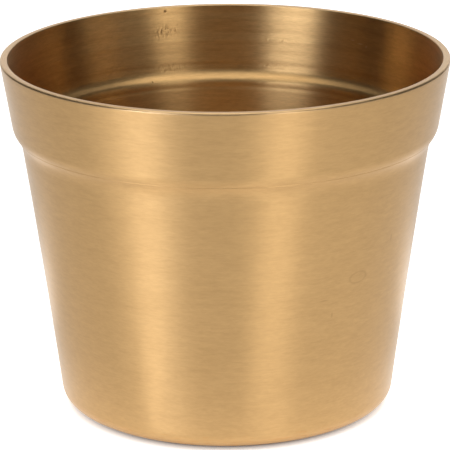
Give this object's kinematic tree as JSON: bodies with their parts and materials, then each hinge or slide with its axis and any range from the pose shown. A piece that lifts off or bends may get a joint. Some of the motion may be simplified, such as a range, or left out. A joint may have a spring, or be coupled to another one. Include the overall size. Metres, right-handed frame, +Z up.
{
  "type": "cachepot",
  "caption": "Round brass cachepot with a tapered body, a stepped collar and a plain rounded lip, on felt pads; it hides a plant's nursery pot and catches the water.",
  "frame": {"origin": "centre of the pot on the surface it stands on, under the felt pads", "axes": "+Z up along the pot's axis; +X to the right in the picture; +Y away from the camera"},
  "size_m": [0.1498, 0.1498, 0.1199],
  "materials": {
    "brushed_brass": "brushed, turned round the pot",
    "brazing": "dull, smoothed by hand",
    "felt": "pressed felt"
  },
  "bodies": {
    "root": {"pot_wall": "brushed_brass", "base_disc": "brushed_brass", "base_seam": "brazing", "foot_pad_1": "felt", "foot_pad_2": "felt", "foot_pad_3": "felt", "foot_pad_4": "felt"}
  },
  "joints": []
}
